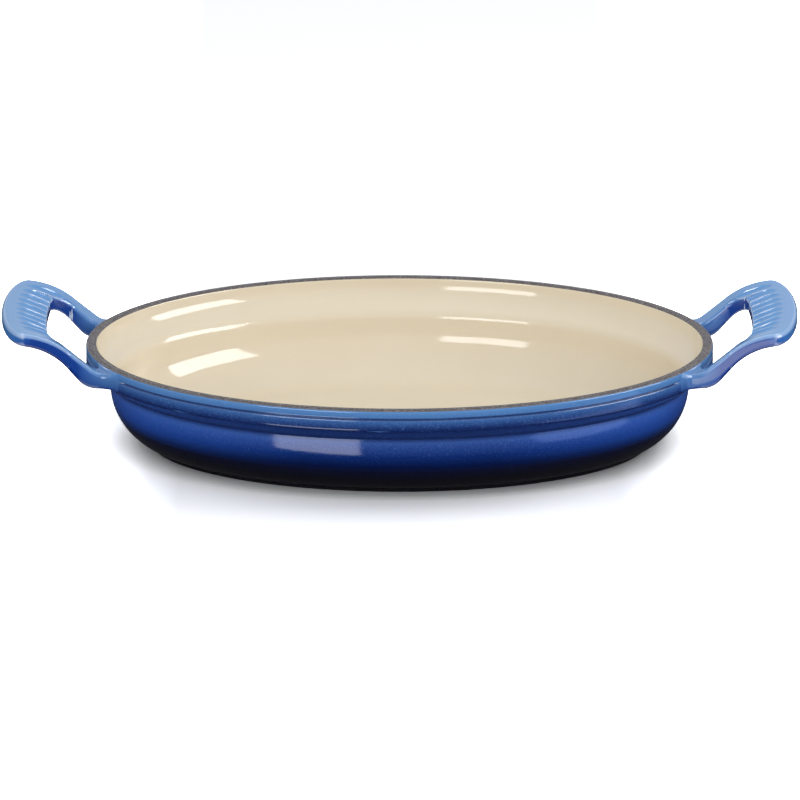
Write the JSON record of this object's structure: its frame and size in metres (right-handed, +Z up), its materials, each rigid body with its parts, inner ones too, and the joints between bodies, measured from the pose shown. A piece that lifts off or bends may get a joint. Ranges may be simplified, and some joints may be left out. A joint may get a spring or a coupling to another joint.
{
  "type": "gratin dish",
  "caption": "Shallow oval enamelled cast iron gratin dish with a beaded collar, a foot ring and a raised loop handle with finger flutes at each end.",
  "frame": {"origin": "on the surface the dish stands on, under the middle of the oval", "axes": "+X from the left handle to the right handle, +Y to the back, +Z up out of the dish"},
  "size_m": [0.4056, 0.227, 0.0728],
  "materials": {
    "cast_iron": "as cast, hidden under the enamel",
    "sand_enamel": "smooth glossy sand coloured vitreous enamel",
    "blue_enamel": "glossy speckled blue vitreous enamel, light at the collar and near black at the foot",
    "dark_enamel": "matt dark ground enamel"
  },
  "bodies": {
    "root": {"iron_bowl": "cast_iron", "iron_handle_right": "cast_iron", "iron_handle_left": "cast_iron", "interior_enamel": "sand_enamel", "exterior_enamel": "blue_enamel", "handle_enamel_right": "blue_enamel", "handle_enamel_left": "blue_enamel", "rim_enamel": "dark_enamel", "base_enamel": "dark_enamel"}
  },
  "joints": []
}
